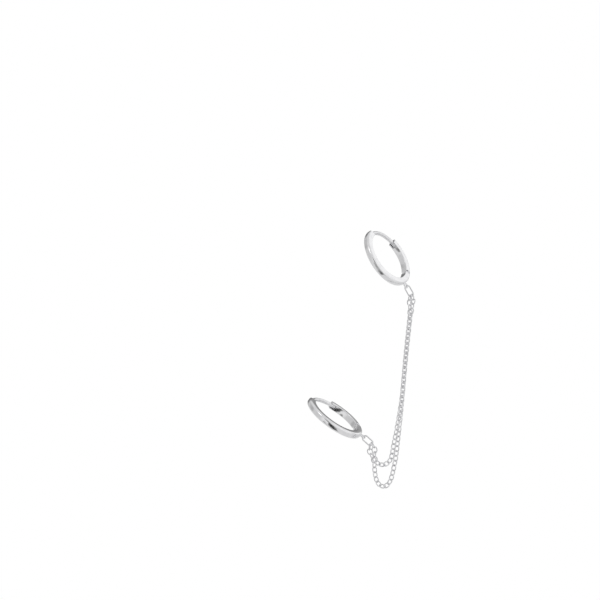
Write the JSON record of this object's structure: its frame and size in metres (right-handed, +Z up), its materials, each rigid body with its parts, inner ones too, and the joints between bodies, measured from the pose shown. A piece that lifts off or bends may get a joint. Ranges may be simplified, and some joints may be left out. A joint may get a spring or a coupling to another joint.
{
  "type": "ear chain earring",
  "caption": "Ear chain earring: a small hinged hoop for the rim of the ear and one for the lobe, joined by a short and a long strand of fine cable chain.",
  "frame": {"origin": "middle of the upper hoop's post, where the upper piercing carries the earring", "axes": "+Z up as it hangs when worn, +X to the right seen from the front, +Y away from the viewer"},
  "size_m": [0.0199, 0.0113, 0.0477],
  "materials": {
    "polished_silver": "mirror-polished rhodium-plated silver",
    "silver_pin": "drawn wire, polished flush with the band",
    "silver_wire": "polished silver wire",
    "silver_chain": "tumble-polished silver wire links"
  },
  "bodies": {
    "earring": {"upper_hoop": "polished_silver", "upper_hinge_pin": "silver_pin", "upper_post": "silver_wire", "upper_link": "silver_wire", "lower_hoop": "polished_silver", "lower_hinge_pin": "silver_pin", "lower_post": "silver_wire", "lower_link": "silver_wire", "chain_short": "silver_chain", "chain_long": "silver_chain"},
    "upper_gate_body": {"upper_gate": "polished_silver"},
    "lower_gate_body": {"lower_gate": "polished_silver"}
  },
  "joints": [
    {"name": "upper_gate_hinge", "type": "hinge", "parent": "earring", "child": "upper_gate_body", "pos_m": [0.00474, -0.00035, -0.00752], "axis": [-0.7222, 0.5, -0.478], "range_deg": [0, 50]},
    {"name": "lower_gate_hinge", "type": "hinge", "parent": "earring", "child": "lower_gate_body", "pos_m": [-0.00428, -0.00039, -0.03588], "axis": [-0.5527, 0.2672, -0.7894], "range_deg": [0, 50]}
  ]
}
